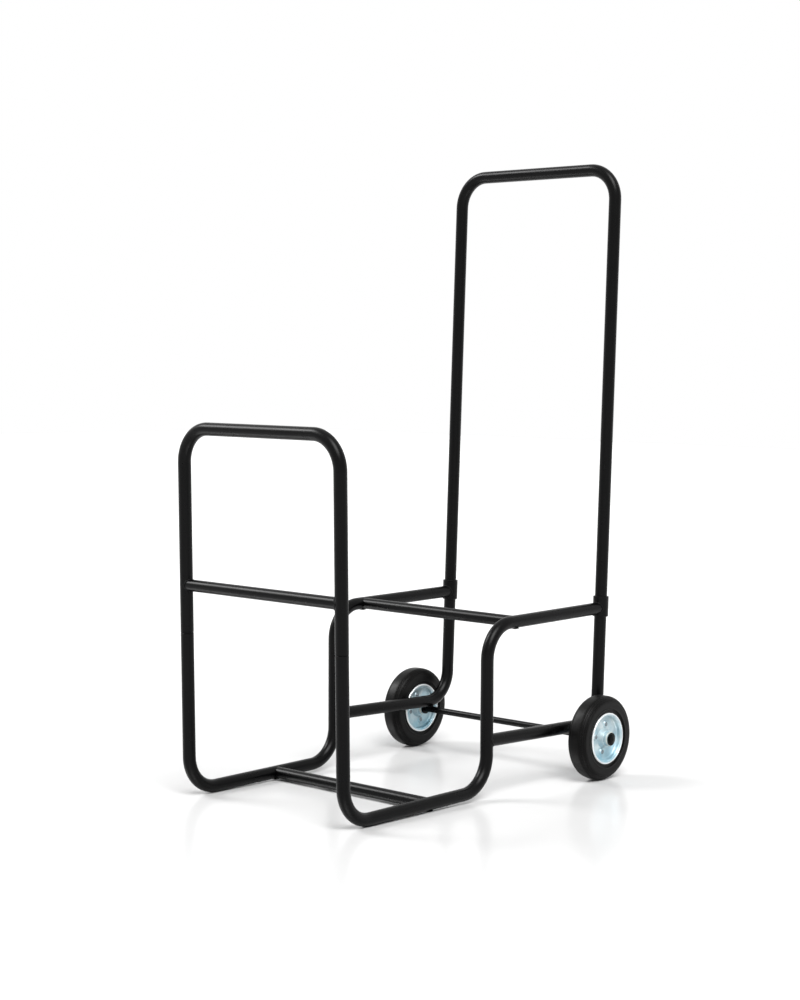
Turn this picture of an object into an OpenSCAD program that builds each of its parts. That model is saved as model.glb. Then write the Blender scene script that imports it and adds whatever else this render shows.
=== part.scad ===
// Fireside log cart: a stepped cart of bent round tube on two solid-tyred wheels.
// The long side frames carry a low log bay in front and a raised bay over the wheels.
// Construction frame: x runs from the front uprights to the handle, y across the cart
// (the left-hand side, seen from behind the handle, is -y), z up from under the rails.
// The front uprights lean forward and the legs with the handle lean back, so each of the
// two has a frame of its own, in which its tubes meet square.
// stand() then lets the cart down on its front bends and its wheels, on the floor z = 0.

/* [Tube] */
// Outside diameter of the frame tube
tube_d = 22; // [19:0.5:28]
// Wall of the frame tube and the crossbars
tube_wall = 1.5; // [1:0.1:2.5]
// Outside diameter of the crossbars
crossbar_d = 20; // [14:0.5:20]

/* [Side frames] */
// Width over both side frames
frame_w = 378; // [280:5:500]
// From the front corner to the step riser, centre line to centre line
front_len = 350.5; // [260:0.5:500]
// From the step riser to the rear leg at the ledge, centre line to centre line
rear_len = 321; // [240:1:450]
// Height of the ledge rail's centre above the underside of the bottom rail
ledge_h = 288.5; // [240:0.5:380]
// Centre-line radius of the side frame's bends
frame_bend_r = 59; // [45:1:70]

/* [Front hoop] */
// Forward lean of the front stubs and the hoop, in degrees
front_lean = 0.9; // [0:0.1:4]
// From the bottom rail's centre line up to the seam where the hoop plugs in
seam_up = 269; // [200:1:300]
// From the bottom rail's centre line up to the hoop's top bar
hoop_up = 610; // [500:1:760]
// From the bottom rail's centre line up to the hoop's crossbar
hoop_crossbar_up = 349; // [320:1:460]
// Centre-line radius of the hoop's top corners
hoop_bend_r = 57; // [45:1:70]
// Depth of the groove that the two chamfered tube ends leave at the seam
seam_groove = 0.8; // [0.4:0.1:1.2]

/* [Legs and handle] */
// Rearward lean of the legs, their sleeves and the handle, in degrees
rear_lean = 2.3; // [0:0.1:4]
// From the ledge rail's centre line up to the handle's top bar
handle_up = 786; // [600:1:950]
// Centre-line radius of the handle's top corners
handle_bend_r = 55; // [45:1:70]
// Centre-line radius of the bend from leg to brace
leg_bend_r = 55; // [45:1:65]
// How far the sleeve reaches above the ledge rail's centre line
sleeve_above = 21.5; // [14:0.5:40]
// How far the sleeve reaches below the ledge rail's centre line
sleeve_below = 15; // [14:0.5:30]
// Wall of the sleeve
sleeve_wall = 2.9; // [2:0.1:5]

/* [Crossbars] */
// From the front corner to the lower crossbar, centre to centre
lower_bar_x = 202; // [150:1:240]
// From the step riser to the ledge crossbar, centre to centre
ledge_bar_x = 74; // [70:1:200]
// Length of the plug pressed into each crossbar end
plug_len = 22; // [14:1:40]
// Diameter of the plug's nose, which enters the side frame's tube
plug_nose_d = 13; // [10:0.5:14]
// Thread diameter of the screws that come up through the side frames into the noses
screw_d = 6; // [5:1:6]
// Diameter of the screw's low head
screw_head_d = 15; // [12:0.5:18]
// Height of the screw's low head
screw_head_h = 1.8; // [1.2:0.1:2]

/* [Wheels] */
// Diameter of the wheel over its tyre
wheel_d = 150; // [125:1:200]
// Width of the tyre
tyre_w = 37.6; // [32:0.2:50]
// Length of the collars that keep the wheels off the side frames
collar_len = 3.7; // [1:0.1:60]
// How far the axle lies ahead of the rear legs' centre lines, along the brace
axle_ahead = 46; // [40:1:80]
// How much lower than the rails the wheels reach
wheel_drop = 9; // [6:0.5:20]
// Diameter of the axle
axle_d = 12; // [10:0.5:14]
// Radius of the rim over its rolled lip
rim_r = 45.6; // [42:0.1:52]
// Thickness of the rim sheet
rim_sheet = 1.5; // [1:0.1:2]
// Depth of the rim's dish below the lip
dish_depth = 10; // [8:0.5:12]
// Outside diameter of the hub tube
hub_d = 26.5; // [22:0.5:29]
// Length of the hub tube
hub_len = 46; // [34:0.5:50]
// Number of rivets that tie the two rim halves
rivet_count = 4; // [3:1:6]
// Radius of the circle that the rivets stand on
rivet_circle_r = 24.6; // [24:0.1:26]
// Outside diameter of the axle cap's flange
cap_d = 23; // [20:0.5:26]

/* [Fits] */
// Radial running clearance of the bushes on the axle
running_gap = 0.05; // [0.02:0.01:0.1]
// Gap left between tubes that are welded or pressed together
seat_gap = 0.15; // [0.1:0.05:0.3]
// Radial clearance of a spigot in its tube
spigot_gap = 0.2; // [0.1:0.05:0.4]
// Length of the hoop's spigots in the front stubs
hoop_spigot = 40; // [20:1:80]
// Length of the handle's spigots in the rear legs
handle_spigot = 60; // [30:1:100]

/* [Hidden] */
$fn = 64;

left = -1;
right = 1;
powder_black = [0.06, 0.06, 0.065];
rubber_black = [0.09, 0.09, 0.09];
zinc = [0.74, 0.79, 0.82];
nylon = [0.85, 0.85, 0.8];

// Tubes and the places of the frame's centre lines
tube_r = tube_d / 2;
bore_r = tube_r - tube_wall;
crossbar_r = crossbar_d / 2;
side_y = (frame_w - tube_d) / 2;
step_x = front_len;
leg_x = front_len + rear_len;
rail_z = tube_r;
cut_over = 1;
hair = 0.05;
sleeve_r = tube_r + seat_gap + sleeve_wall;
sleeve_chamfer = 0.6;
spigot_r = bore_r - spigot_gap;
swage_len = 3;

// The front corner: a bend that is short of a right angle by the lean
front_turn = 90 - front_lean;
front_tangent = frame_bend_r * tan(front_turn / 2);
bend_out_r = frame_bend_r + tube_r;

// The axle lies under the legs' bends; the brace's place follows from the wheel's size
axle_r = axle_d / 2;
wheel_r = wheel_d / 2;
axle_z = wheel_r - wheel_drop;
axle_reach = leg_bend_r + tube_r + seat_gap + axle_r;
axle_inset = max(0, leg_bend_r - axle_ahead);
axle_down = (ledge_h + axle_ahead * sin(rear_lean) - axle_z) / cos(rear_lean);
brace_down = axle_down + leg_bend_r - sqrt(axle_reach * axle_reach - axle_inset * axle_inset);
brace_len = (rear_len - brace_down * sin(rear_lean)) / cos(rear_lean) - leg_bend_r;
axle_x = leg_x - axle_ahead * cos(rear_lean) - axle_down * sin(rear_lean);

// The tilt that brings the front bends and the wheels down to one floor
tilt_run = axle_x - front_tangent;
tilt_rise = axle_z - bend_out_r;
tilt_reach = sqrt(tilt_run * tilt_run + tilt_rise * tilt_rise);
tilt = asin((wheel_r - bend_out_r) / tilt_reach) - atan2(tilt_rise, tilt_run);
function stood_x(x, z) = x * cos(tilt) - z * sin(tilt);
function stood_z(x, z) = x * sin(tilt) + z * cos(tilt);
floor_z = stood_z(axle_x, axle_z) - wheel_r;
hoop_top = stood_x(-hoop_up * sin(front_lean), rail_z + hoop_up * cos(front_lean));
handle_top = stood_x(
  leg_x + handle_up * sin(rear_lean),
  ledge_h + handle_up * cos(rear_lean)
);
wheel_back = stood_x(axle_x, axle_z) + wheel_r;
middle_x = (hoop_top - tube_r + max(handle_top + tube_r, wheel_back)) / 2;

// Places of the two screwed crossbars, as [x, z]
crossbar_places = [
  [lower_bar_x, rail_z],
  [step_x + ledge_bar_x, ledge_h]
];
plug_r = crossbar_r - tube_wall - running_gap;
nose_r = plug_nose_d / 2;
nose_reach = nose_r;
screw_r = screw_d / 2;
screw_clearance = 0.3;
screw_hole_r = screw_r + screw_clearance;
// The sloping rails leave this much room for the heads above the floor
head_floor_gap = 0.2;
head_room = stood_z(lower_bar_x, 0) - floor_z - seat_gap - head_floor_gap;
head_h = min(screw_head_h, head_room);
socket_r = 0.7 * screw_r;
socket_depth = 0.7 * head_h;

// Wheel section, from its middle plane outwards
lip_r = 1.7;
lip_reach = 5;
lip_proud = 0.4;
lip_gap = 0.2;
lip_ring_r = rim_r - lip_r;
lip_y = tyre_w / 2 + lip_proud - lip_r;
dish_y = lip_y + lip_r - dish_depth;
wall_out_r = rim_r - lip_reach;
wall_in_r = wall_out_r - rim_sheet;
press_r = 3;
seat_rise = 1.7;
seat_top_r = 5.4;
seat_foot_r = 7.4;
boss_rise = 8.5;
boss_reach = 1.6;
boss_slope = 3.2;
boss_wall = 1;
boss_grip = 3;
hub_r = hub_d / 2;
bush_wall = 3;
bush_r = axle_r + running_gap + bush_wall;
bush_len = 12;
bush_flange = 1;
bush_flange_step = 1;
bush_flange_r = hub_r - bush_flange_step;
rivet_turn = -12;
rivet_r = 2.5;
rivet_head_r = 4.2;
rivet_head_h = 1.7;
shoulder_r = 12.5;
shoulder_drop = 0.3;
crown_r = 130;
groove_r = 1;
groove_turns = [20, 36, 52, 68];
bead_ring_r = rim_r + 7.4;
bead_bump_r = 1.8;
bead_proud = 0.4;
tyre_recess = 2;

// What stands on the axle outside each side frame
axial_gap = 0.2;
collar_r = 10;
collar_gap = 0.4;
washer_t = 1.2;
washer_r = 11.4;
collar_in_y = frame_w / 2 + collar_gap;
inner_washer_y = collar_in_y + collar_len;
wheel_y = inner_washer_y + washer_t + axial_gap + bush_flange + hub_len / 2;
outer_washer_y = wheel_y + hub_len / 2 + bush_flange + axial_gap;
cap_y = outer_washer_y + washer_t;
cap_flange_t = 1.2;
cap_chamfer = 0.4;
cap_wall = 1.7;
cap_cup_h = 3;
cap_dome_h = 1.6;
cap_nub_r = 2.2;
cap_nub_h = 0.5;
axle_end_y = cap_y + cap_cup_h - axial_gap;

// Bends and straights of one tube, end to end, starting along +z.
// Each run is [straight length, bend angle, bend radius, roll before the bend];
// a positive angle bends towards +x of the tube's own turned frame.
module tube_run(runs, r, from = 0) {
  if (from < len(runs)) {
    straight = runs[from][0];
    angle = runs[from][1];
    bend_r = runs[from][2];
    side = angle < 0 ? -1 : 1;
    cylinder(r = r, h = straight);
    translate([0, 0, straight])
      rotate([0, 0, runs[from][3]]) {
        if (angle != 0)
          rotate([0, 0, side < 0 ? 180 : 0])
            translate([bend_r, 0, 0])
              rotate([90, 0, 180])
                rotate_extrude(angle = abs(angle))
                  translate([bend_r, 0])
                    circle(r = r);
        if (from + 1 < len(runs))
          translate([side * bend_r, 0, bend_r])
            rotate([0, 90 * side, 0])
              tube_run(runs, r, from + 1);
      }
  }
}

// The same runs, with the first and last straight longer by more
function longer_ends(runs, more) = [
  for (i = [0 : len(runs) - 1])
    [runs[i][0] + (i == 0 || i == len(runs) - 1 ? more : 0), runs[i][1], runs[i][2], runs[i][3]]
];

// A bent tube with its bore open at both ends
module hollow_run(runs) {
  difference() {
    tube_run(runs, tube_r);
    translate([0, 0, -cut_over])
      tube_run(longer_ends(runs, cut_over), bore_r);
  }
}

// A bar along y through (x, z), centred on y = 0
module along_y(x, z, r, length) {
  translate([x, 0, z])
    rotate([90, 0, 0])
      cylinder(r = r, h = length, center = true);
}

// A ring about z between two radii
module ring(outer, inner, height) {
  difference() {
    cylinder(r = outer, h = height);
    translate([0, 0, -cut_over])
      cylinder(r = inner, h = height + 2 * cut_over);
  }
}

// A domed disc: radius r, height h, its flat face down
module dome(r, h) {
  sphere_r = (r * r + h * h) / (2 * h);
  intersection() {
    translate([0, 0, h - sphere_r])
      sphere(r = sphere_r);
    cylinder(r = r, h = h);
  }
}

// Lets the cart down on the floor, with the origin under the middle of its box
module stand() {
  translate([-middle_x, 0, -floor_z])
    rotate([0, -tilt, 0])
      children();
}

// The leaning frame of the front uprights: z up them from the bottom rail's centre line
module in_front_frame(side = 0) {
  translate([0, 0, rail_z])
    rotate([0, -front_lean, 0])
      translate([0, side * side_y, 0])
        children();
}

// The leaning frame of the legs and the handle: z up them from the ledge's centre line
module in_rear_frame(side = 0) {
  translate([leg_x, 0, ledge_h])
    rotate([0, rear_lean, 0])
      translate([0, side * side_y, 0])
        children();
}

// Places a wheel piece: its axis along the axle, its +z outboard
module on_axle(side, y) {
  translate([axle_x, side * y, axle_z])
    rotate([-90 * side, 0, 0])
      children();
}

// Runs of one side frame, from the rear leg to the end of the front corner's bend
side_runs = [
  [rear_len - frame_bend_r, -90, frame_bend_r, 0],
  [ledge_h - rail_z - 2 * frame_bend_r, 90, frame_bend_r, 0],
  [front_len - frame_bend_r - front_tangent, front_turn, frame_bend_r, 0]
];

// One side frame's outside or bore, as a solid of radius r, with its front stub
module side_solid(side, r, over = 0) {
  translate([leg_x, side * side_y, ledge_h])
    rotate([0, -90, 0])
      tube_run(side_runs, r);
  in_front_frame(side)
    translate([0, 0, front_tangent - cut_over])
      cylinder(r = r - hair, h = seam_up - front_tangent + cut_over + over);
}

// Runs of the rear leg, down from the sleeve and forward as the brace
leg_runs = [
  [brace_down - leg_bend_r, -90, leg_bend_r, 0],
  [brace_len, 0, 0, 0]
];

// Runs of an arch over both sides: up, across and down
function arch_runs(rise, corner_r) = [
  [rise - corner_r, 90, corner_r, 90],
  [2 * (side_y - corner_r), 90, corner_r, 0],
  [rise - corner_r, 0, 0, 0]
];

// Swaged end of an arch: a spigot down into the tube below, and its shoulder
module spigot(length) {
  translate([0, 0, -length])
    ring(spigot_r, spigot_r - tube_wall, length + swage_len);
  ring(bore_r + tube_wall / 2, spigot_r - tube_wall / 2, swage_len);
}

// An arch of tube over both sides, with a spigot at each foot
module spigoted_arch(rise, corner_r, spigot_len) {
  translate([0, -side_y, 0])
    hollow_run(arch_runs(rise, corner_r));
  for (side = [left, right])
    translate([0, side * side_y, 0])
      spigot(spigot_len);
}

// The groove round the seam, cut from both tube ends
module seam_cut(side) {
  in_front_frame(side)
    translate([0, 0, seam_up])
      rotate_extrude()
        polygon([
          [tube_r - seam_groove, 0],
          [tube_r + cut_over, -seam_groove - cut_over],
          [tube_r + cut_over, seam_groove + cut_over]
        ]);
}

module side_frame(side) {
  color(powder_black)
    difference() {
      side_solid(side, tube_r);
      side_solid(side, bore_r, cut_over);
      in_rear_frame(side)
        cylinder(r = sleeve_r + seat_gap, h = 2 * tube_d, center = true);
      for (place = crossbar_places)
        translate([place[0], side * side_y, place[1]]) {
          rotate([90 * side, 0, 0])
            cylinder(r = nose_r + seat_gap, h = tube_d);
          translate([0, 0, -tube_d])
            cylinder(r = screw_hole_r, h = tube_d);
        }
      seam_cut(side);
    }
}

module sleeve(side) {
  inner = tube_r + seat_gap;
  color(powder_black)
    in_rear_frame(side)
      rotate_extrude()
        polygon([
          [inner, -sleeve_below],
          [sleeve_r - sleeve_chamfer, -sleeve_below],
          [sleeve_r, -sleeve_below + sleeve_chamfer],
          [sleeve_r, sleeve_above - sleeve_chamfer],
          [sleeve_r - sleeve_chamfer, sleeve_above],
          [inner, sleeve_above]
        ]);
}

// The leg and the brace are one tube; the brace's end is notched round the riser
module rear_leg(side) {
  color(powder_black)
    difference() {
      in_rear_frame(side)
        rotate([180, 0, 0])
          hollow_run(leg_runs);
      translate([step_x, side * side_y, 0])
        cylinder(r = tube_r + seat_gap, h = ledge_h);
    }
}

module front_hoop() {
  color(powder_black)
    difference() {
      in_front_frame()
        translate([0, 0, seam_up + seat_gap])
          spigoted_arch(hoop_up - seam_up - seat_gap, hoop_bend_r, hoop_spigot);
      for (side = [left, right])
        seam_cut(side);
    }
}

module handle() {
  color(powder_black)
    in_rear_frame()
      translate([0, 0, seat_gap])
        spigoted_arch(handle_up - seat_gap, handle_bend_r, handle_spigot);
}

// Tube between the side frames' centre lines
module cross_tube(x, z) {
  difference() {
    along_y(x, z, crossbar_r, 2 * side_y);
    along_y(x, z, crossbar_r - tube_wall, frame_w);
  }
}

// The crossbar's ends are notched round the legs of the hoop
module hoop_crossbar() {
  color(powder_black)
    in_front_frame()
      difference() {
        cross_tube(0, hoop_crossbar_up);
        for (side = [left, right])
          translate([0, side * side_y, hoop_crossbar_up])
            cylinder(r = tube_r + seat_gap, h = 2 * tube_d, center = true);
      }
}

// Cuts the side frames' round out of the ends of what lies between them
module notched_by_side_frames() {
  difference() {
    children();
    for (side = [left, right])
      side_solid(side, tube_r + seat_gap);
  }
}

module screwed_crossbar(place) {
  color(powder_black)
    notched_by_side_frames()
      cross_tube(place[0], place[1]);
}

module lower_crossbar() {
  screwed_crossbar(crossbar_places[0]);
}

module ledge_crossbar() {
  screwed_crossbar(crossbar_places[1]);
}

// Steel plugs pressed into the crossbar ends, each with a nose that enters the side frame
module crossbar_plugs() {
  color(zinc)
    difference() {
      union() {
        notched_by_side_frames()
          for (place = crossbar_places, side = [left, right])
            translate([place[0], side * side_y, place[1]])
              rotate([90 * side, 0, 0])
                cylinder(r = plug_r, h = tube_r + plug_len);
        for (place = crossbar_places, side = [left, right])
          translate([place[0], side * (side_y + nose_reach), place[1]])
            rotate([90 * side, 0, 0])
              cylinder(r = nose_r, h = nose_reach + tube_r + plug_len / 2);
      }
      for (place = crossbar_places, side = [left, right])
        translate([place[0], side * side_y, place[1]])
          cylinder(r = screw_r + running_gap, h = tube_d, center = true);
    }
}

// Low-headed screws, from under the side frames up into the plugs' noses
module crossbar_screws() {
  head_z = tube_r + seat_gap;
  color(powder_black)
    for (place = crossbar_places, side = [left, right])
      translate([place[0], side * side_y, place[1] - head_z])
        rotate([180, 0, 0])
          difference() {
            union() {
              translate([0, 0, -head_z])
                cylinder(r = screw_r, h = head_z + hair);
              dome(screw_head_d / 2, head_h);
            }
            translate([0, 0, head_h - socket_depth])
              cylinder(r = socket_r, h = tube_r, $fn = 6);
          }
}

module axle() {
  chamfer = 1;
  color(powder_black)
    translate([axle_x, 0, axle_z])
      rotate([90, 0, 0])
        rotate_extrude()
          polygon([
            [0, -axle_end_y],
            [axle_r - chamfer, -axle_end_y],
            [axle_r, -axle_end_y + chamfer],
            [axle_r, axle_end_y - chamfer],
            [axle_r - chamfer, axle_end_y],
            [0, axle_end_y]
          ]);
}

// A flat ring on the axle, from y outwards
module axle_ring(side, y, r, thickness) {
  on_axle(side, y)
    ring(r, axle_r + running_gap, thickness);
}

// Collars that keep the wheels off the side frames
module axle_collars() {
  color(powder_black)
    for (side = [left, right])
      axle_ring(side, collar_in_y, collar_r, collar_len);
}

module axle_washers() {
  color(zinc)
    for (side = [left, right], y = [inner_washer_y, outer_washer_y])
      axle_ring(side, y, washer_r, washer_t);
}

// Push-on cap that closes the axle's end: a flange, a cup, and a domed top with a nub
module axle_cap(side) {
  flange_r = cap_d / 2;
  cup_r = axle_r + running_gap + cap_wall;
  color(powder_black)
    on_axle(side, cap_y)
      difference() {
        union() {
          rotate_extrude()
            polygon([
              [0, 0],
              [flange_r, 0],
              [flange_r, cap_flange_t - cap_chamfer],
              [flange_r - cap_chamfer, cap_flange_t],
              [0, cap_flange_t]
            ]);
          cylinder(r = cup_r, h = cap_cup_h);
          translate([0, 0, cap_cup_h - hair])
            dome(cup_r - hair, cap_dome_h + hair);
          cylinder(r = cap_nub_r, h = cap_cup_h + cap_dome_h + cap_nub_h);
        }
        translate([0, 0, -cut_over])
          cylinder(r = axle_r + running_gap, h = cap_cup_h + cut_over);
      }
}

// Tyre section: a crowned tread, round shoulders, and a step for the rim's lip
module tyre_section() {
  half_w = tyre_w / 2;
  shoulder_y = half_w - shoulder_r;
  shoulder_ring = wheel_r - shoulder_drop - shoulder_r;
  seat_r = wall_out_r + seat_gap;
  lip_clear_r = rim_r + 2 * lip_gap;
  lip_floor_y = lip_y - lip_r - lip_gap;
  difference() {
    intersection() {
      translate([seat_r, -half_w])
        square([wheel_r - seat_r, tyre_w]);
      translate([wheel_r - crown_r, 0])
        circle(r = crown_r, $fn = 128);
      union() {
        translate([seat_r, -half_w])
          square([shoulder_ring - seat_r, tyre_w]);
        translate([seat_r, -shoulder_y])
          square([wheel_r - seat_r, 2 * shoulder_y]);
        for (side = [left, right])
          translate([shoulder_ring, side * shoulder_y])
            circle(r = shoulder_r);
      }
    }
    for (side = [left, right]) {
      for (turn = groove_turns)
        translate([
          shoulder_ring + shoulder_r * cos(turn),
          side * (shoulder_y + shoulder_r * sin(turn))
        ])
          circle(r = groove_r);
      mirror([0, side < 0 ? 1 : 0]) {
        translate([seat_r - cut_over, half_w - tyre_recess])
          square([bead_ring_r - seat_r + cut_over, tyre_recess + cut_over]);
        translate([seat_r - cut_over, lip_floor_y])
          square([lip_clear_r - seat_r + cut_over, half_w - lip_floor_y + cut_over]);
      }
    }
  }
  for (side = [left, right])
    translate([bead_ring_r, side * (half_w + bead_proud - bead_bump_r)])
      circle(r = bead_bump_r);
}

module tyre(side) {
  color(rubber_black)
    on_axle(side, wheel_y)
      rotate_extrude($fn = 96)
        tyre_section();
}

// A quarter ring of sheet about a corner centre, in the quadrant given by its signs
module pressed_corner(centre_r, centre_y, inner_r, sign_r, sign_y) {
  translate([centre_r, centre_y])
    intersection() {
      difference() {
        circle(r = inner_r + rim_sheet);
        circle(r = inner_r);
      }
      translate([sign_r < 0 ? -2 * press_r : 0, sign_y < 0 ? -2 * press_r : 0])
        square(2 * press_r);
    }
}

// One pressed rim half: rolled lip, wall under the tyre, dish and hub boss
module rim_section() {
  dish_end_r = wall_in_r - press_r;
  wall_top_y = lip_y - rim_sheet / 2 - rim_sheet;
  boss_r = hub_r + boss_reach;
  boss_foot_r = boss_r + boss_slope;
  boss_bore_r = hub_r + running_gap;
  boss_top_y = dish_y + boss_rise;
  polygon([
    [dish_end_r, dish_y],
    [boss_foot_r, dish_y],
    [boss_r, boss_top_y],
    [boss_bore_r, boss_top_y],
    [boss_bore_r, boss_top_y - boss_grip],
    [boss_foot_r - boss_wall, dish_y - rim_sheet],
    [dish_end_r, dish_y - rim_sheet]
  ]);
  pressed_corner(dish_end_r, dish_y + press_r, press_r, 1, -1);
  translate([wall_in_r, dish_y + press_r])
    square([rim_sheet, wall_top_y - dish_y - press_r]);
  pressed_corner(wall_out_r + rim_sheet, wall_top_y, rim_sheet, -1, 1);
  translate([wall_out_r + rim_sheet, wall_top_y + rim_sheet])
    square([lip_ring_r - wall_out_r - rim_sheet, rim_sheet]);
  translate([lip_ring_r, lip_y])
    circle(r = lip_r);
}

// Places its children at every rivet
module at_rivets() {
  for (turn = [0 : rivet_count - 1])
    rotate([0, 0, rivet_turn + turn * 360 / rivet_count])
      translate([rivet_circle_r, 0, 0])
        children();
}

module rim_half() {
  difference() {
    union() {
      rotate_extrude($fn = 96)
        rim_section();
      at_rivets()
        translate([0, 0, dish_y - rim_sheet / 2])
          cylinder(r1 = seat_foot_r, r2 = seat_top_r, h = seat_rise + rim_sheet / 2);
    }
    at_rivets() {
      translate([0, 0, dish_y - rim_sheet - cut_over])
        cylinder(r1 = seat_foot_r - rim_sheet, r2 = seat_top_r - rim_sheet, h = seat_rise + cut_over);
      cylinder(r = rivet_r + running_gap, h = tyre_w);
    }
  }
}

module rim_outer(side) {
  color(zinc)
    on_axle(side, wheel_y)
      rim_half();
}

module rim_inner(side) {
  color(zinc)
    on_axle(side, wheel_y)
      mirror([0, 0, 1])
        rim_half();
}

// Stay rivets from dish to dish, with domed heads
module rim_rivets(side) {
  seat_y = dish_y + seat_rise;
  color(zinc)
    on_axle(side, wheel_y)
      at_rivets() {
        cylinder(r = rivet_r, h = 2 * seat_y + rivet_head_h, center = true);
        for (end = [0, 1])
          mirror([0, 0, end])
            translate([0, 0, seat_y])
              dome(rivet_head_r, rivet_head_h);
      }
}

module hub_tube(side) {
  color(zinc)
    on_axle(side, wheel_y)
      difference() {
        cylinder(r = hub_r, h = hub_len, center = true);
        cylinder(r = bush_r + running_gap, h = hub_len + 2 * cut_over, center = true);
      }
}

// Flanged nylon bushes, one in each end of the hub tube
module hub_bushes(side) {
  color(nylon)
    on_axle(side, wheel_y)
      for (end = [0, 1])
        mirror([0, 0, end])
          translate([0, 0, hub_len / 2])
            difference() {
              union() {
                translate([0, 0, -bush_len])
                  cylinder(r = bush_r, h = bush_len + bush_flange);
                cylinder(r = bush_flange_r, h = bush_flange);
              }
              translate([0, 0, -bush_len - cut_over])
                cylinder(r = axle_r + running_gap, h = bush_len + bush_flange + 2 * cut_over);
            }
}

stand() side_frame(left);  // side_frame_left
stand() side_frame(right);  // side_frame_right
stand() sleeve(left);  // sleeve_left
stand() sleeve(right);  // sleeve_right
stand() rear_leg(left);  // rear_leg_left
stand() rear_leg(right);  // rear_leg_right
stand() front_hoop();
stand() hoop_crossbar();
stand() handle();
stand() lower_crossbar();
stand() ledge_crossbar();
stand() crossbar_plugs();
stand() crossbar_screws();
stand() axle();
stand() axle_collars();
stand() axle_washers();
stand() axle_cap(left);  // axle_cap_left
stand() axle_cap(right);  // axle_cap_right
stand() tyre(left);  // tyre_left
stand() tyre(right);  // tyre_right
stand() rim_outer(left);  // rim_outer_left
stand() rim_outer(right);  // rim_outer_right
stand() rim_inner(left);  // rim_inner_left
stand() rim_inner(right);  // rim_inner_right
stand() rim_rivets(left);  // rim_rivets_left
stand() rim_rivets(right);  // rim_rivets_right
stand() hub_tube(left);  // hub_tube_left
stand() hub_tube(right);  // hub_tube_right
stand() hub_bushes(left);  // hub_bushes_left
stand() hub_bushes(right);  // hub_bushes_right
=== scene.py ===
"""Fireside log cart: materials, weld beads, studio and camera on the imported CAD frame.

The part's own frame: +Z up, +X from the front hoop back to the handle, -Y the near side
in the photograph. Blender works in metres, the sizes below are in millimetres unless they
say otherwise. Every CAD node keeps its shape.
"""

import math

import bmesh
import bpy
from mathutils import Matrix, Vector


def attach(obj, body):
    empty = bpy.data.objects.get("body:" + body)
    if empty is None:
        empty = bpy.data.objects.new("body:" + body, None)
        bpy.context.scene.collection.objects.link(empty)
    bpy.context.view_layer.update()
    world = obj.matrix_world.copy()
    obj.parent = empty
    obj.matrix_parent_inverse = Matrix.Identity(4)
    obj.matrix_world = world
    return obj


MM = 0.001

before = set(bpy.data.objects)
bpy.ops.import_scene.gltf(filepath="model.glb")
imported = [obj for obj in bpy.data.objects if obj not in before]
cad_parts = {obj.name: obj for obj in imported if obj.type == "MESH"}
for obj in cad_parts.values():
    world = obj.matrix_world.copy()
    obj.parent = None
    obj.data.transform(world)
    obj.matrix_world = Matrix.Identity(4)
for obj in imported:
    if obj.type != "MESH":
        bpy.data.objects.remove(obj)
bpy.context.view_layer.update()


# --------------------------------------------------------------------- helpers
# Between these levels lie most of the values of a noise
NOISE_MIDDLE = (0.3, 0.7)


class Nodes:
    """A short way to write a material's or the world's node tree."""

    def __init__(self, tree):
        self.tree = tree
        tree.nodes.clear()

    def put(self, socket, value):
        """Sets a socket to a constant, or links it to the socket given as its value."""
        if isinstance(value, bpy.types.NodeSocket):
            self.tree.links.new(value, socket)
        else:
            socket.default_value = value

    def add(self, kind, **inputs):
        """A node with its inputs set by name (or i0, i1 ... by place): values or sockets."""
        node = self.tree.nodes.new(kind)
        for name, value in inputs.items():
            place = int(name[1:]) if name[1:].isdigit() else name.replace("_", " ")
            self.put(node.inputs[place], value)
        return node

    def math(self, operation, a, b):
        """The result of one sum on two numbers."""
        node = self.add("ShaderNodeMath", i0=a, i1=b)
        node.operation = operation
        return node.outputs[0]

    def vector(self, operation, a, b=(0, 0, 0)):
        """A vector, or a number where the operation is LENGTH or DOT_PRODUCT."""
        node = self.add("ShaderNodeVectorMath", i0=a, i1=b)
        node.operation = operation
        return node.outputs["Value" if operation in ("LENGTH", "DOT_PRODUCT") else "Vector"]

    def mix(self, factor, a, b):
        """A colour between a and b."""
        node = self.add("ShaderNodeMix")
        node.data_type = "RGBA"
        # The node's colour inputs are numbers 6 and 7, its colour output is number 2
        for place, value in ((0, factor), (6, a), (7, b)):
            self.put(node.inputs[place], value)
        return node.outputs[2]

    def noise(self, place, size, detail=3.0, roughness=0.5):
        """Noise whose features are about size metres."""
        scale = 1.0 / size
        node = self.add(
            "ShaderNodeTexNoise", Vector=place, Scale=scale, Detail=detail, Roughness=roughness
        )
        return node.outputs["Fac"]

    def ramp(self, value, low, high, out_low=0.0, out_high=1.0):
        """value from low..high to out_low..out_high, held at the ends."""
        node = self.add("ShaderNodeMapRange", i0=value, i1=low, i2=high, i3=out_low, i4=out_high)
        return node.outputs[0]

    def bump(self, height, depth, normal=None):
        """A bump of that depth in metres, on top of another one where its normal is given."""
        node = self.add("ShaderNodeBump", Height=height, Strength=1.0, Distance=depth)
        if normal is not None:
            self.put(node.inputs["Normal"], normal)
        return node.outputs["Normal"]


def rgb(red, green, blue):
    return (red, green, blue, 1.0)


def grey(level):
    return rgb(level, level, level)


def new_material(name):
    """A material, its empty node tree, and the place on the object in metres."""
    material = bpy.data.materials.new(name)
    material.use_nodes = True
    nodes = Nodes(material.node_tree)
    place = nodes.add("ShaderNodeTexCoord").outputs["Object"]
    return material, nodes, place


def end_surface(nodes, **inputs):
    """Ends a material's tree in a Principled shader with those inputs."""
    surface = nodes.add("ShaderNodeBsdfPrincipled", **inputs)
    nodes.add("ShaderNodeOutputMaterial", Surface=surface.outputs[0])


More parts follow.
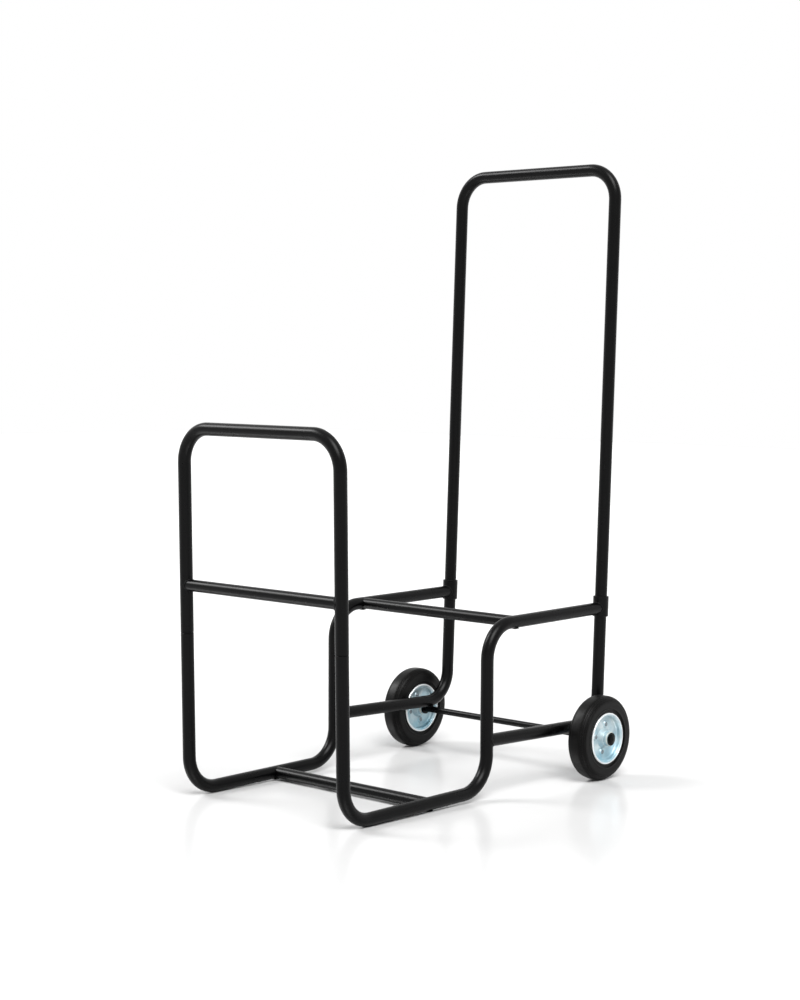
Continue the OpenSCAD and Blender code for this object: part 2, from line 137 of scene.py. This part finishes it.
def paint(obj, material):
    """Gives the whole object one material."""
    obj.data.materials.clear()
    obj.data.materials.append(material)


def new_object(name, data):
    """A new object of the scene with that mesh or camera."""
    obj = bpy.data.objects.new(name, data)
    bpy.context.scene.collection.objects.link(obj)
    return obj


# ------------------------------------------------------------------- materials
def powder_coat():
    """Black semi-gloss powder coat: orange peel, a fine grain, and faint handling scuffs."""
    material, nodes, place = new_material("powder_coat")
    deep, pale, worn = rgb(0.0005, 0.0005, 0.0006), rgb(0.0014, 0.0014, 0.0015), grey(0.02)
    scuff_shows, scuff_dulls = 0.25, 0.12
    cloud = nodes.noise(place, 60 * MM, detail=4.0)
    peel = nodes.noise(place, 1.6 * MM, detail=1.0)
    grain = nodes.noise(place, 0.35 * MM, detail=2.0)
    scuff = nodes.ramp(nodes.noise(place, 9 * MM, detail=8.0, roughness=0.75), 0.63, 0.75)
    colour = nodes.mix(cloud, deep, pale)
    colour = nodes.mix(nodes.math("MULTIPLY", scuff, scuff_shows), colour, worn)
    roughness = nodes.ramp(cloud, *NOISE_MIDDLE, 0.25, 0.30)
    roughness = nodes.math("ADD", roughness, nodes.math("MULTIPLY", scuff, scuff_dulls))
    end_surface(
        nodes,
        Base_Color=colour,
        Roughness=roughness,
        Specular_IOR_Level=0.11,
        Normal=nodes.bump(grain, 0.01 * MM, nodes.bump(peel, 0.04 * MM)),
    )
    return material


def edge_highlight_mask(nodes, within):
    """1 on the rolled edge of a rim half and 0 inside it, by the radius in the piece's box: where
    the painted highlight goes.
    """
    box_middle, wheel_plane = (0.5, 0.5, 0.5), (1, 0, 1)
    edge_from, edge_full = 0.462, 0.478
    spoke = nodes.vector("SUBTRACT", within, box_middle)
    radius = nodes.vector("LENGTH", nodes.vector("MULTIPLY", spoke, wheel_plane))
    return nodes.ramp(radius, edge_from, edge_full)


def zinc_plate(name, painted_edge_highlight=False):
    """Pale bluish zinc with soft clouds and bluer stain patches, bluer and darker towards each
    piece's bottom. A dish's rolled edge gets a painted highlight.
    """
    material, nodes, place = new_material(name)
    dull, clear = rgb(0.36, 0.46, 0.50), rgb(0.60, 0.68, 0.70)
    # The last tone is a painted highlight for a dish's rolled edge
    blue_tone, edge_highlight = rgb(0.20, 0.42, 0.52), rgb(0.78, 0.81, 0.82)
    patch_stain, low_blue = 0.3, 0.5
    within = place.node.outputs["Generated"]
    upward = nodes.add("ShaderNodeSeparateXYZ", i0=within).outputs["Z"]
    cloud = nodes.noise(place, 20 * MM)
    patch = nodes.ramp(nodes.noise(place, 13 * MM, detail=2.0), 0.42, 0.62)
    # Bluer and darker towards the bottom of each piece
    low_down = nodes.ramp(upward, 0.38, 0.12)
    spangle = nodes.noise(place, 5 * MM)
    scratch = nodes.noise(place, 0.25 * MM)
    patch = nodes.math("MULTIPLY", patch, patch_stain)
    low_down = nodes.math("MULTIPLY", low_down, low_blue)
    colour = nodes.mix(nodes.ramp(cloud, *NOISE_MIDDLE), dull, clear)
    colour = nodes.mix(nodes.math("ADD", patch, low_down), colour, blue_tone)
    # Painted highlight: a dish's rolled edge is painted near white
    if painted_edge_highlight:
        colour = nodes.mix(edge_highlight_mask(nodes, within), colour, edge_highlight)
    end_surface(
        nodes,
        Base_Color=colour,
        Metallic=0.5,
        Roughness=nodes.ramp(cloud, 0.25, 0.75, 0.30, 0.38),
        Normal=nodes.bump(spangle, 0.02 * MM, nodes.bump(scratch, 0.003 * MM)),
    )
    return material


def shaded_rivet_steel():
    """Rivet steel with a fine grain, darker and greyer than the plate: the darkness is painted
    shade for the dark crescents at the rivets.
    """
    material, nodes, place = new_material("shaded_rivet_steel")
    # Dark tones as painted shade round the rivet heads
    dark, light = rgb(0.14, 0.17, 0.19), rgb(0.28, 0.32, 0.34)
    cloud = nodes.noise(place, 3 * MM, detail=4.0)
    grain = nodes.noise(place, 0.2 * MM, detail=2.0)
    end_surface(
        nodes,
        Base_Color=nodes.mix(cloud, dark, light),
        Metallic=0.9,
        Roughness=nodes.ramp(cloud, *NOISE_MIDDLE, 0.38, 0.48),
        Normal=nodes.bump(grain, 0.004 * MM),
    )
    return material


def tyre_rubber():
    """Solid black rubber: dull, with a moulded grain and a trace of pale bloom."""
    material, nodes, place = new_material("tyre_rubber")
    deep, pale, dusty = rgb(0.0016, 0.0016, 0.0015), rgb(0.0036, 0.0035, 0.0034), grey(0.02)
    bloom_shows = 0.25
    cloud = nodes.noise(place, 18 * MM, detail=5.0)
    bloom = nodes.ramp(nodes.noise(place, 5 * MM, detail=6.0, roughness=0.7), 0.52, 0.8)
    grain = nodes.noise(place, 0.5 * MM)
    colour = nodes.mix(cloud, deep, pale)
    end_surface(
        nodes,
        Base_Color=nodes.mix(nodes.math("MULTIPLY", bloom, bloom_shows), colour, dusty),
        Roughness=nodes.ramp(cloud, *NOISE_MIDDLE, 0.32, 0.40),
        Specular_IOR_Level=0.11,
        Normal=nodes.bump(grain, 0.03 * MM),
    )
    return material


def cap_plastic():
    """Glossy black cap with hairline scratches."""
    material, nodes, place = new_material("cap_plastic")
    deep, pale = rgb(0.002, 0.0025, 0.0025), rgb(0.004, 0.005, 0.005)
    cloud = nodes.noise(place, 7 * MM)
    hair = nodes.noise(place, 0.8 * MM, detail=6.0, roughness=0.8)
    end_surface(
        nodes,
        Base_Color=nodes.mix(cloud, deep, pale),
        Roughness=nodes.ramp(hair, 0.35, 0.75, 0.16, 0.28),
        Specular_IOR_Level=0.1,
        Normal=nodes.bump(hair, 0.01 * MM),
    )
    return material


def bush_nylon():
    """Natural nylon, slightly uneven and waxy."""
    material, nodes, place = new_material("bush_nylon")
    cream, ivory = rgb(0.62, 0.61, 0.55), rgb(0.75, 0.74, 0.68)
    cloud = nodes.noise(place, 4 * MM)
    grain = nodes.noise(place, 0.4 * MM)
    end_surface(
        nodes,
        Base_Color=nodes.mix(cloud, cream, ivory),
        Roughness=nodes.ramp(cloud, *NOISE_MIDDLE, 0.4, 0.5),
        Normal=nodes.bump(grain, 0.01 * MM),
    )
    return material


COAT = powder_coat()
ZINC = zinc_plate("zinc_plate")

# The first of these that starts a node's name gives its look; all other nodes are coated
LOOKS = {
    "tyre": tyre_rubber(),
    "rim_rivets": shaded_rivet_steel(),
    "rim": zinc_plate("zinc_dish", painted_edge_highlight=True),
    "hub_tube": ZINC,
    "hub_bushes": bush_nylon(),
    "crossbar_plugs": ZINC,
    "axle_washers": ZINC,
    "axle_cap": cap_plastic(),
}

for node_name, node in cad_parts.items():
    looks = [look for start, look in LOOKS.items() if node_name.startswith(start)]
    paint(node, looks[0] if looks else COAT)


# ------------------------------------------------------------------ weld beads
# Centre lines of the tubes in the side view, as (x, z), and their leans
RISER_FOOT = (17.25, 15.72)
LEG_AT_LEDGE = (333.73, 298.36)
BRACE_FRONT = (7.83, 98.19)
HOOP_CROSSBAR = (-344.31, 358.89)
AXLE = (282.353, 75.0)
LEG_BEND_CENTRE = (275.075, 146.782)
CART_TILT = math.radians(0.9234)
FRONT_LEAN = math.radians(1.8234)
REAR_LEAN = math.radians(1.3766)

# The plane of each side's tubes, and the outer radii
SIDE_Y = 178.0
TUBE_R = 11.0
CROSSBAR_R = 10.0
SLEEVE_R = 14.05
AXLE_R = 6.0

BEAD_R = 1.5
LEDGE_BEAD_R = 1.4
BEAD_SIDES = 10
BEAD_STEPS_PER_MM = 2.2
RIPPLE_LENGTH = 1.9
RIPPLE_SWELL = 0.1
# How the welder's hand swells the bead, as (share of the radius, waves round the loop, phase)
HAND_SWELLS = ((0.09, 3, 1.0), (0.06, 7, 0.0))

# The search for a joint starts this far back along the tube
RUN_UP = 60.0

# The bead on the axle: half its length along the axle and half its angle round it, the
# height of its middle line over the axle, and the steps of its loop
AXLE_BEAD_HALF = 5.0
AXLE_BEAD_SWING = math.radians(34)
AXLE_BEAD_LIFT = 0.5
AXLE_BEAD_STEPS = 64


def leaning(angle):
    """Unit vector up a tube that leans towards +x by the angle."""
    return Vector((math.sin(angle), 0, math.cos(angle)))


def level(angle):
    """Unit vector along a rail that rises towards +x by the angle."""
    return Vector((math.cos(angle), 0, math.sin(angle)))


def point_at(place, y):
    """The point over an (x, z) of the side view, in the plane y."""
    return Vector((place[0], y, place[1]))


def bead_swell(angle, ripples):
    """The bead's thickness at an angle round its loop, where its mean is 1."""
    swell = 1 + RIPPLE_SWELL * math.cos(ripples * angle)
    for size, waves, phase in HAND_SWELLS:
        swell += size * math.sin(waves * angle + phase)
    return swell


def bead_rings(mesh, path, radius):
    """Rings of points round a closed path, each square to it."""
    count = len(path)
    length = sum((path[i] - path[i - 1]).length for i in range(count))
    ripples = round(length / RIPPLE_LENGTH)
    rings = []
    side = (path[1] - path[-1]).orthogonal()
    for i, point in enumerate(path):
        ahead = (path[(i + 1) % count] - path[i - 1]).normalized()
        side = (side - side.dot(ahead) * ahead).normalized()
        out = ahead.cross(side)
        ring_radius = radius * bead_swell(math.tau * i / count, ripples)
        ring = []
        for k in range(BEAD_SIDES):
            turn = math.tau * k / BEAD_SIDES
            offset = (math.cos(turn) * side + math.sin(turn) * out) * ring_radius
            ring.append(mesh.verts.new((point + offset) * MM))
        rings.append(ring)
    return rings


def join_rings(mesh, ring, after, shift):
    """A band of faces between two rings, the first turned by shift points."""
    for k in range(BEAD_SIDES):
        a = ring[(k + shift) % BEAD_SIDES]
        b = ring[(k + 1 + shift) % BEAD_SIDES]
        mesh.faces.new((a, b, after[(k + 1) % BEAD_SIDES], after[k]))


def swept_bead(name, path, radius):
    """A closed weld bead along a loop of points: round, rippled and a little uneven."""
    mesh = bmesh.new()
    rings = bead_rings(mesh, path, radius)
    # The rings turn a little along the loop, so its ends meet at the nearest points
    last, first = rings[-1], rings[0]
    closing = min(range(BEAD_SIDES), key=lambda k: (last[k].co - first[0].co).length)
    join_rings(mesh, last, first, closing)
    for ring, after in zip(rings, rings[1:]):
        join_rings(mesh, ring, after, 0)
    bmesh.ops.recalc_face_normals(mesh, faces=mesh.faces)
    for face in mesh.faces:
        face.smooth = True
    data = bpy.data.meshes.new(name)
    mesh.to_mesh(data)
    mesh.free()
    bead = new_object(name, data)
    paint(bead, COAT)
    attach(bead, "frame")


def meeting_loop(tube_end, ahead, radius, post, post_way, post_radius):
    """Where a tube that goes ahead to tube_end runs into the near side of a round post."""
    start = tube_end - RUN_UP * ahead
    side = ahead.orthogonal().normalized()
    out = ahead.cross(side)
    across = ahead - ahead.dot(post_way) * post_way
    steps = round(math.tau * radius * BEAD_STEPS_PER_MM)
    loop = []
    for i in range(steps):
        turn = math.tau * i / steps
        point = start + radius * (math.cos(turn) * side + math.sin(turn) * out)
        gap = point - post
        gap -= gap.dot(post_way) * post_way
        # The near root of |gap + reach * across| = post_radius
        a, b, c = across.dot(across), across.dot(gap), gap.dot(gap) - post_radius**2
        reach = (-b - math.sqrt(max(0.0, b * b - a * c))) / a
        loop.append(point + reach * ahead)
    return loop


def axle_loop(axle, leg_bend_centre):
    """An oval loop on the side of the axle that the leg's bend rests on."""
    along = Vector((0, 1, 0))
    towards = (leg_bend_centre - axle).normalized()
    aside = towards.cross(along)
    loop = []
    for i in range(AXLE_BEAD_STEPS):
        turn = math.tau * i / AXLE_BEAD_STEPS
        swing = AXLE_BEAD_SWING * math.cos(turn)
        way = math.cos(swing) * towards + math.sin(swing) * aside
        point = axle + (AXLE_R + AXLE_BEAD_LIFT) * way
        loop.append(point + AXLE_BEAD_HALF * math.sin(turn) * along)
    return loop


def weld_side(word, y):
    """The beads of one side: hoop crossbar, brace to riser, ledge rail to sleeve, leg to axle."""
    outward = Vector((0, math.copysign(1, y), 0))
    bar_end = point_at(HOOP_CROSSBAR, y)
    loop = meeting_loop(bar_end, outward, CROSSBAR_R, bar_end, leaning(-FRONT_LEAN), TUBE_R)
    swept_bead("weld_hoop_crossbar_" + word, loop, BEAD_R)

    brace_end = point_at(BRACE_FRONT, y)
    riser = point_at(RISER_FOOT, y)
    loop = meeting_loop(brace_end, -level(-REAR_LEAN), TUBE_R, riser, leaning(-CART_TILT), TUBE_R)
    swept_bead("weld_brace_" + word, loop, BEAD_R)

    ledge_end = point_at(LEG_AT_LEDGE, y)
    loop = meeting_loop(
        ledge_end, level(CART_TILT), TUBE_R, ledge_end, leaning(REAR_LEAN), SLEEVE_R
    )
    swept_bead("weld_ledge_" + word, loop, LEDGE_BEAD_R)

    loop = axle_loop(point_at(AXLE, y), point_at(LEG_BEND_CENTRE, y))
    swept_bead("weld_axle_" + word, loop, BEAD_R)


weld_side("left", -SIDE_Y)
weld_side("right", SIDE_Y)

# ---------------------------------------------------------------------- studio
# The floor's half width, the size of its mottle and its glow's reach are in metres
FLOOR_HALF = 14.0
FLOOR_MOTTLE = 0.4
FLOOR_GREY = (0.59, 0.62)
FLOOR_GLOSS = 0.19
FLOOR_ROUGHNESS = 0.2
# Glow as (distance where it starts, where it is full, strength at the start, full strength)
FLOOR_GLOW = (0.3, 1.3, 0.0, 0.3)
# Ceiling as (upward share where it starts, where it is full, light below it, its light)
CEILING = (0.2, 0.8, 0.05, 0.35)
# Patches of light as (direction, outer and inner half-angle in degrees, strength): the
# backdrop behind the cart, and the softboxes over its near and its far front corner
SOFTBOXES = (
    ((0.74, 0.67, 0.12), 34, 26, 1.0),
    ((-0.337, -0.4815, 0.809), 25, 8, 13.5),
    ((-0.36, 0.68, 0.64), 15, 5, 19.0),
)


def seen_directly(nodes):
    """Whether a ray comes from the camera, and whether it comes off gloss or through glass."""
    path = nodes.add("ShaderNodeLightPath").outputs
    mirrored = nodes.math("MAXIMUM", path["Is Glossy Ray"], path["Is Transmission Ray"])
    return path["Is Camera Ray"], mirrored


def studio_floor():
    """White floor with a weak gloss.

    Further out a faint glow keeps it white, which only the camera, gloss and glass see.
    """
    corners = [
        (x * FLOOR_HALF, y * FLOOR_HALF, 0) for x, y in ((-1, -1), (1, -1), (1, 1), (-1, 1))
    ]
    mesh = bpy.data.meshes.new("studio_floor")
    mesh.from_pydata(corners, [], [(0, 1, 2, 3)])
    floor = new_object("studio_floor", mesh)
    material, nodes, place = new_material("studio_floor")
    mottle = nodes.ramp(nodes.noise(place, FLOOR_MOTTLE), 0.0, 1.0, *FLOOR_GREY)
    colour = nodes.add("ShaderNodeCombineColor", i0=mottle, i1=mottle, i2=mottle)
    matt = nodes.add("ShaderNodeBsdfDiffuse", Color=colour.outputs[0])
    camera, mirrored = seen_directly(nodes)
    further_out = nodes.ramp(nodes.vector("LENGTH", place), *FLOOR_GLOW)
    strength = nodes.math("MULTIPLY", nodes.math("MAXIMUM", camera, mirrored), further_out)
    glow = nodes.add("ShaderNodeEmission", Color=grey(1), Strength=strength)
    white = nodes.add("ShaderNodeAddShader", i0=matt.outputs[0], i1=glow.outputs[0])
    gloss = nodes.add("ShaderNodeBsdfGlossy", Color=grey(1), Roughness=FLOOR_ROUGHNESS)
    blend = nodes.add(
        "ShaderNodeMixShader", i0=FLOOR_GLOSS, i1=white.outputs[0], i2=gloss.outputs[0]
    )
    nodes.add("ShaderNodeOutputMaterial", Surface=blend.outputs[0])
    paint(floor, material)


def studio_world():
    """A dim room with patches of light and a pale ceiling.

    The camera sees plain white instead, gloss and glass see at least white.
    """
    world = bpy.data.worlds.new("studio_world")
    bpy.context.scene.world = world
    world.use_nodes = True
    nodes = Nodes(world.node_tree)
    way = nodes.add("ShaderNodeTexCoord").outputs["Generated"]
    upward = nodes.add("ShaderNodeSeparateXYZ", i0=way).outputs["Z"]
    room = nodes.ramp(upward, *CEILING)
    for direction, outer, inner, power in SOFTBOXES:
        facing = nodes.vector("DOT_PRODUCT", way, Vector(direction).normalized())
        edge, full = (math.cos(math.radians(angle)) for angle in (outer, inner))
        room = nodes.math("MAXIMUM", room, nodes.ramp(facing, edge, full, 0.0, power))
    camera, mirrored = seen_directly(nodes)
    room = nodes.math("MAXIMUM", room, mirrored)
    unseen_room = nodes.math("MULTIPLY", room, nodes.math("SUBTRACT", 1.0, camera))
    strength = nodes.math("ADD", unseen_room, camera)
    background = nodes.add("ShaderNodeBackground", Color=grey(1), Strength=strength)
    nodes.add("ShaderNodeOutputWorld", Surface=background.outputs[0])


studio_floor()
studio_world()

# ---------------------------------------------------------------------- camera
# Fitted to the tube edges of the photograph: place in metres, turn in degrees, and the
# focal length as a multiple of the sensor's long side, which is the picture's height
CAMERA_PLACE = (-2.5434, -2.2628, 0.7223)
CAMERA_TURN = (86.2013, -0.8379, -48.1340)
FOCAL_PER_LONG_SIDE = 1.97285
SENSOR_LONG_SIDE = 36


def photo_camera():
    """The view of the photograph."""
    data = bpy.data.cameras.new("photo_camera")
    data.sensor_width = SENSOR_LONG_SIDE
    data.lens = FOCAL_PER_LONG_SIDE * SENSOR_LONG_SIDE
    camera = new_object("photo_camera", data)
    camera.location = CAMERA_PLACE
    camera.rotation_euler = [math.radians(angle) for angle in CAMERA_TURN]
    bpy.context.scene.camera = camera


photo_camera()
bpy.context.scene.view_settings.view_transform = "Standard"
